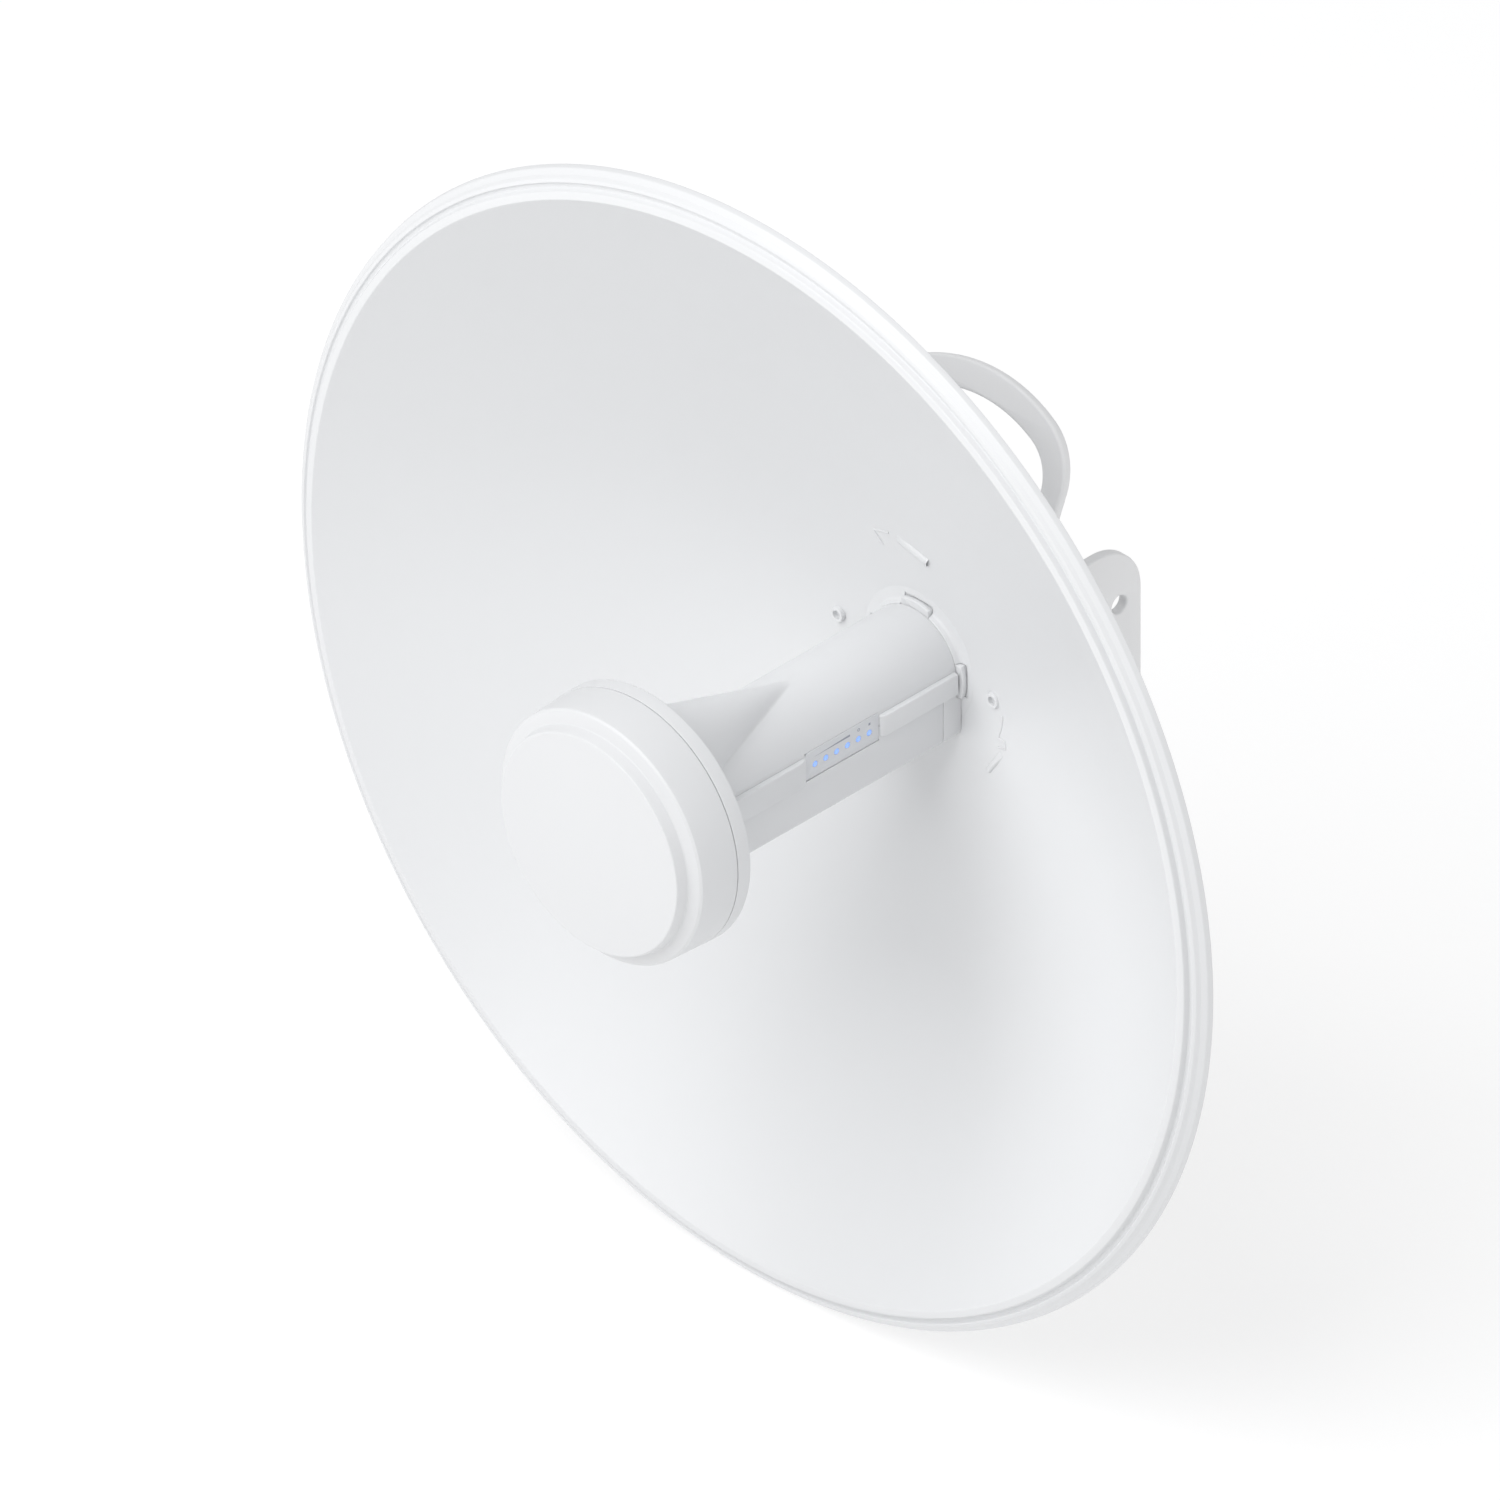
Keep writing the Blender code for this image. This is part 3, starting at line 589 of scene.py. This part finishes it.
def make_tube_lower():
    inner = TUBE_RADIUS - TUBE_WALL
    corner = 2.2
    side = TUBE_RADIUS - corner
    base = TUBE_BOTTOM + corner
    floor = TUBE_BOTTOM + TUBE_WALL
    outline = [(-TUBE_RADIUS, -SEAM)] + arc(-side, base, corner, 180, 270, 10)
    outline += arc(side, base, corner, 270, 360, 10)
    outline += [(TUBE_RADIUS, -SEAM), (inner, -SEAM), (inner, floor), (-inner, floor), (-inner, -SEAM)]
    tube = plate(
        "tube_shell_lower", [outline], -SOCKET_DEPTH, -TUBE_FRONT, "depth", 0.2, WHITE_PLASTIC)
    boolean(tube, [block(
        "window_below", (15, 25), (WINDOW_DEPTH[0] - WINDOW_GAP, WINDOW_DEPTH[1] + WINDOW_GAP),
        (WINDOW_HEIGHT[0] - WINDOW_GAP, 1))])
    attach(tube, "feed")
    stand_for(tube, "white_plastic", "feed_tube_lower")
    socket = plate(
        "tube_socket", [outline], -75.3, -SOCKET_DEPTH - 0.18, "depth", 0.15, WHITE_PLASTIC)
    notch = LUG_HALF_WIDTH + 0.35
    boolean(socket, [
        rod("socket_bore", (0, ROOT_DEPTH, 0), (0, 80, 0), 20.7, 160),
        block("socket_top", (-30, 30), (60, 80), (-3.9, 5)),
        block("socket_notch", (-notch, notch), (ROOT_DEPTH, 80), (-30, 0))])
    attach(socket, "head")


def make_rail(node, side, ramp_front, ramp_back):
    crest = max(abs(v) for v in extent(node)[0])
    front, back = extent(node)[1]
    bottom, top = extent(node)[2]
    root = 17.5
    lip = TUBE_RADIUS + 0.35
    outline = [
        (side * root, front), (side * lip, front), (side * crest, front + ramp_front),
        (side * crest, back - ramp_back), (side * lip, back), (side * root, back)]
    rail = plate(node + "_fine", [outline], bottom, top, "height", 0.45, WHITE_PLASTIC)
    clear = TUBE_RADIUS + 0.05
    envelope = [(-clear, -25)] + arc(0, 0, clear, 180, 0, 160) + [(clear, -25)]
    boolean(rail, [plate(node + "_seat", [envelope], -80, 60, "depth", 0.01)])
    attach(rail, "feed")
    stand_for(rail, "white_plastic", node)


def make_window():
    front, back = WINDOW_DEPTH[0] - 0.2, WINDOW_DEPTH[1] + 0.2
    bottom, top = WINDOW_HEIGHT
    outline = [
        (front, bottom), (back, bottom), (back, top), (front + 1.2, top), (front, top - 1.2)]
    holes = []
    for i in range(6):
        low, high = extent(f"led_lens_{i + 1}")[1:]
        holes.append(circle(sum(low) / 2, sum(high) / 2, 1.12, 32))
    window = plate(
        "indicator_window", [outline] + holes, WINDOW_FACE - 1.7, WINDOW_FACE, "x", 0.2,
        WINDOW_PLASTIC, "feed")
    stand_for(window, "white_plastic", "led_window")


def make_lenses():
    for i in range(6):
        node = f"led_lens_{i + 1}"
        x, depth, height = extent(node)
        lens = dome(node + "_fine", x, sum(depth) / 2, sum(height) / 2, 1.0)
        stand_for(lens, "blue_lens", node)


def dome(name, x, depth, height, radius):
    """A short cylinder with a domed face, facing +X."""
    work = bmesh.new()
    rings = []
    levels = [(radius, x[0])] + [
        (radius * math.cos(t * math.pi / 2), x[1] - 0.25 + 0.25 * math.sin(t * math.pi / 2))
        for t in (0.0, 0.25, 0.5, 0.75, 0.92)]
    sides = 32
    for r, along in levels:
        rings.append([
            work.verts.new(place(
                along, depth + r * math.cos(2 * math.pi * k / sides),
                height + r * math.sin(2 * math.pi * k / sides)))
            for k in range(sides)])
    for here, there in zip(rings, rings[1:]):
        for k in range(sides):
            nxt = (k + 1) % sides
            work.faces.new((here[k], here[nxt], there[nxt], there[k]))
    work.faces.new(rings[0])
    work.faces.new(rings[-1])
    return add_object(name, mesh_from(work, name), LENS, "feed")


def make_window_marks():
    """A signal wedge over the first four lights and two plain symbols over the others."""
    proud = WINDOW_FACE + 0.03
    first = sum(extent("led_lens_1")[1]) / 2
    fourth = sum(extent("led_lens_4")[1]) / 2
    level = 2.3
    wedge = [(first - 0.8, level), (fourth + 1.0, level), (fourth + 1.0, level + 0.8)]
    symbols = {"mark_wedge": [wedge]}
    for node, name, inner in (("led_lens_5", "mark_ring", 0.35), ("led_lens_6", "mark_square", 0.0)):
        middle = sum(extent(node)[1]) / 2
        if inner:
            symbols[name] = [circle(middle, level + 0.6, 0.6, 24), circle(middle, level + 0.6, inner, 24)]
        else:
            symbols[name] = [[
                (middle - 0.45, level), (middle + 0.45, level), (middle + 0.45, level + 0.9),
                (middle - 0.45, level + 0.9)]]
    for name, outlines in symbols.items():
        mark = plate(name, outlines, WINDOW_FACE - 0.05, proud, "x", 0.01, INK, "feed")


def make_cap():
    front = extent("feed_cap_front")[1][0]
    seam = extent("feed_cap_front")[1][1]
    shell = rounded([
        (0, front, 0), (40.6, front, 0.7), (41.5, front + 4.4, 0.9), (45.6, front + 5.6, 0.3),
        (46.4, front + 6.4, 0.7), (47.1, seam, 0.25), (45.0, seam, 0.2), (44.3, front + 8.0, 1.0),
        (39.2, front + 6.3, 0.5), (38.6, front + 2.2, 0.5), (0, front + 2.2, 0)], 6)
    cap = lathe("cap_shell_front", shell, 224, WHITE_PLASTIC, "feed")
    stand_for(cap, "white_plastic", "feed_cap_front")
    rear_front, rear_back = extent("feed_cap_rear")[1]
    ring = rounded([
        (14.8, rear_back, 0.3), (47.4, rear_back, 1.0), (47.2, rear_front, 0.25),
        (45.2, rear_front, 0.2), (45.2, rear_back - 2, 0.6), (14.8, rear_back - 2, 0.3)], 6)
    rear = lathe("cap_shell_rear", ring, 224, WHITE_PLASTIC, "feed")
    stand_for(rear, "white_plastic", "feed_cap_rear")


# ---------------------------------------------------------------- rear bracket and pole bracket

def handle_outline(half_width, top, top_radius, corner):
    centre = top - top_radius
    corner_x = half_width - corner
    corner_y = centre + math.sqrt((top_radius - corner) ** 2 - corner_x ** 2)
    lean = math.degrees(math.atan2(corner_y - centre, corner_x))
    right = arc(corner_x, corner_y, corner, 0, lean, 24)
    top_arc = arc(0, centre, top_radius, lean, 180 - lean, 40)[1:-1]
    left = arc(-corner_x, corner_y, corner, 180 - lean, 180, 24)
    return right + top_arc + left


def make_handle():
    foot = 30.0
    half_width = 41.9
    inner_half_width = 33.0
    top = 105.7
    outer = handle_outline(half_width, top, 68.0, 23.0)
    inner = handle_outline(inner_half_width, top - 10.5, 58.0, 16.0)
    outline = [(half_width, foot)] + outer + [(-half_width, foot), (-inner_half_width, foot)]
    outline += inner[::-1] + [(inner_half_width, foot)]
    lean = math.radians(23)
    sine = math.sin(lean)
    cosine = math.cos(lean)
    leaning = Matrix(((1, 0, 0), (0, sine, -cosine), (0, cosine, sine)))
    handle = plate(
        "handle_arch", [outline], -4.0, 0, leaning, 1.1, BRACKET_PLASTIC, start=place(0, 68.6, 0))
    pad_front = extent("carry_handle")[1][0]
    boolean(handle, [block("handle_below", (-60, 60), (50, pad_front + 0.1), (0, 60))])
    pads = []
    holes = []
    for node in ("handle_screw_left", "handle_screw_right"):
        x = sum(extent(node)[0]) / 2
        height = sum(extent(node)[2]) / 2
        pads.append(block(
            node + "_pad", (x - 6.5, x + 6.5), (pad_front, pad_front + 3.5), (21, 43), 0.8))
        holes.append(rod(node + "_hole", (x, 75, height), (x, 95, height), 2.1, 32))
    boolean(handle, pads, "UNION")
    boolean(handle, holes)
    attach(handle, "head")
    stand_for(handle, "white_plastic", "carry_handle")


def make_pole_bracket():
    back = extent("pole_bracket")[1][1]
    bottom = extent("pole_bracket")[2][0]
    pivot = sum(extent("pivot_bolt")[1]) / 2
    cheek = [(126, 23)] + arc(back - 20, 3, 20, 90, 0, 24)
    cheek += arc(back - 4, bottom + 4, 4, 0, -90, 10) + arc(136, bottom + 6, 6, -90, -160, 10)
    cheek += arc(pivot, 0, 16, 240, 118, 36)
    holes = [circle(pivot, 0, 4.3, 48), circle(142.8, 0, 3.4, 48)]
    bracket = plate("pole_yoke", [cheek] + holes, 22.5, 26.5, "x", 0.7, BRACKET_PLASTIC)
    other = plate("cheek_left", [cheek] + holes, -26.5, -22.5, "x", 0.7)
    slots = []
    for x in (-15.0, 15.0):
        slots.append(arc(x, -25.5, 2.5, 0, 180, 14) + arc(x, -44.5, 2.5, 180, 360, 14))
    wide = 24.5
    outline = [(-wide, bottom + 5), (wide, bottom + 5), (wide, -14), (-wide, -14)]
    web = plate("web", [outline] + slots, -back, 4 - back, "depth", 0.5)
    boolean(bracket, [other, web], "UNION")
    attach(bracket, "mount")
    stand_for(bracket, "white_plastic", "pole_bracket")


def make_screw(node, head_radius, shank_radius):
    x, depth, height = extent(node)
    centre = (sum(x) / 2, sum(height) / 2)
    front, back = depth
    head = back - 2.0
    profile = rounded([
        (0, back, 0), (head_radius * 0.8, back - 0.05, 0.6), (head_radius, back - 0.9, 0.4),
        (head_radius, head, 0.1), (shank_radius, head, 0), (shank_radius, front, 0.3), (0, front, 0)], 4)
    piece = lathe(node + "_fine", profile, 40, ZINC, None, centre)
    arm = head_radius * 0.62
    slot = 0.35
    cut = (back - 1.1, back + 1)
    cx, cz = centre
    boolean(piece, [
        block("recess_across", (cx - arm, cx + arm), cut, (cz - slot, cz + slot)),
        block("recess_up", (cx - slot, cx + slot), cut, (cz - arm, cz + arm))])
    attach(piece, "head")
    stand_for(piece, "zinc_steel", node)


def make_screws():
    for i in range(4):
        make_screw(f"hub_screw_{i + 1}", 3.2, 1.75)
    for i in range(3):
        make_screw(f"housing_screw_{i + 1}", 2.8, 1.45)
    for side in ("left", "right"):
        make_screw(f"handle_screw_{side}", 3.2, 1.75)
    make_screw("ground_screw", 4.2, 1.85)


def make_pivot():
    for node, width in (("pivot_bolt", 0.5), ("pivot_nut", 0.5)):
        refined(node, "mount", ZINC, "zinc_steel", width)
    for node in ("pivot_washer_left", "pivot_washer_right"):
        x = extent(node)[0]
        depth = sum(extent(node)[1]) / 2
        washer = plate(
            node + "_fine", [circle(depth, 0, 8.6, 64), circle(depth, 0, 4.3, 48)], *x, "x", 0.25,
            ZINC, "mount")
        stand_for(washer, "zinc_steel", node)


def make_rear_parts():
    refined("dish_bracket", "head", BRACKET_PLASTIC, "white_plastic", 0.5)
    refined("rear_housing", "head", BRACKET_PLASTIC, "white_plastic", 0.35)
    refined("port_cover", "cover", BRACKET_PLASTIC, "white_plastic", 0.15, 1)
    depth = sum(extent("cable_grommet")[1]) / 2
    bottom, top = extent("cable_grommet")[2]
    profile = rounded([
        (3.5, bottom, 0.5), (6.8, bottom, 0.8), (7.2, -46.3, 0.3), (5.6, -46.3, 0), (5.6, -43.7, 0),
        (7.2, -43.7, 0.3), (6.4, top, 0.5), (3.5, top, 0.4)], 5)
    grommet = lathe("grommet_fine", profile, 64, RUBBER, "head", (0.0, depth), axis="height")
    stand_for(grommet, "black_rubber", "cable_grommet")


def paint_kept_nodes():
    """CAD nodes that stay visible get their procedural material."""
    kept = {
        "subreflector": ALUMINIUM, "feed_horn": ALUMINIUM, "rf_shield": ALUMINIUM,
        "cap_seal": RUBBER, "main_pcb": BOARD, "feed_coupler": WHITE_PLASTIC,
        "ethernet_jack": BLACK_PLASTIC, "reset_button": BLACK_PLASTIC}
    for node, material in kept.items():
        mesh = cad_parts[node]
        for index in range(max(1, len(mesh.material_slots))):
            if mesh.material_slots:
                mesh.material_slots[index].material = material


# ---------------------------------------------------------------- stage, light and camera

FLOOR_TONE = 0.45
FLOOR_GLOW = 0.60
KEY_FROM = Vector((-0.32, -1.45, 1.75))     # above the dish's front, a little to the left
SIDE_FROM = Vector((2.2, -0.5, 0.9))
REAR_FROM = Vector((2.1, 0.7, 1.1))


def make_stage():
    work = bmesh.new()
    half = 14.0
    corners = [(-half, -half), (half, -half), (half, half), (-half, half)]
    work.faces.new([work.verts.new((x, y, FLOOR_Z)) for x, y in corners])
    mesh = bpy.data.meshes.new("floor")
    work.to_mesh(mesh)
    work.free()
    floor = bpy.data.objects.new("floor", mesh)
    bpy.context.scene.collection.objects.link(floor)
    white = surface(
        "floor_white", (FLOOR_TONE,) * 3, 0.30, grain=40, bump=0.0, mottling=0.004, spread=0.01,
        specular=0.2)
    shader = white.node_tree.nodes["Principled BSDF"]
    shader.inputs["Emission Color"].default_value = (1.0, 1.0, 1.0, 1.0)
    shader.inputs["Emission Strength"].default_value = FLOOR_GLOW
    floor.data.materials.append(white)


def add_area(name, position, target, size, power):
    light = bpy.data.lights.new(name, "AREA")
    light.shape = "DISK"
    light.size = size
    light.energy = power
    obj = bpy.data.objects.new(name, light)
    obj.location = position
    obj.rotation_euler = (target - position).to_track_quat("-Z", "Y").to_euler()
    obj.visible_camera = False
    bpy.context.scene.collection.objects.link(obj)


def make_light():
    world = bpy.data.worlds.new("studio")
    world.use_nodes = True
    background = world.node_tree.nodes["Background"]
    background.inputs["Color"].default_value = (0.985, 0.99, 1.0, 1.0)
    background.inputs["Strength"].default_value = 0.49
    bpy.context.scene.world = world
    middle = place(0, 40, 0)
    add_area("key", middle + KEY_FROM, middle, 2.6, 48.0)
    add_area("side", middle + SIDE_FROM, middle, 1.4, 1.0)
    add_area("rear", middle + REAR_FROM, middle, 1.0, 8.5)
    settings = bpy.context.scene.view_settings
    settings.view_transform = "Standard"


def make_camera():
    """A view without perspective, from the right and above the dish's front."""
    azimuth = math.radians(44.55)
    elevation = math.radians(34.39)
    distance = 3.0
    width = 0.4939                      # what the frame takes in
    beside, below = 0.0027, 0.0008      # how far the frame's middle lies from the dish's
    right = Vector((math.cos(azimuth), math.sin(azimuth), 0))
    ahead = Vector((
        -math.sin(azimuth) * math.cos(elevation), math.cos(azimuth) * math.cos(elevation),
        -math.sin(elevation)))
    up = right.cross(ahead)
    target = place(0, 0, 0) - right * beside - up * below
    data = bpy.data.cameras.new("camera")
    data.type = "ORTHO"
    data.ortho_scale = width
    data.clip_start = 0.1
    data.clip_end = 60.0
    camera = bpy.data.objects.new("camera", data)
    camera.location = target - ahead * distance
    camera.rotation_euler = ahead.to_track_quat("-Z", "Y").to_euler()
    bpy.context.scene.collection.objects.link(camera)
    bpy.context.scene.camera = camera


def main():
    make_camera()
    make_dish()
    make_eyelets()
    make_pressed_marks()
    make_hub_collar()
    make_tube_upper()
    make_tube_lower()
    make_rail("led_rail_front", 1, 0.4, 2.6)
    make_rail("led_rail_rear", 1, 1.5, 0.4)
    make_rail("plain_rail", -1, 0.4, 0.4)
    make_window()
    make_lenses()
    make_window_marks()
    make_cap()
    make_latches()
    make_handle()
    make_pole_bracket()
    make_rear_parts()
    make_screws()
    make_pivot()
    paint_kept_nodes()
    make_stage()
    make_light()


main()
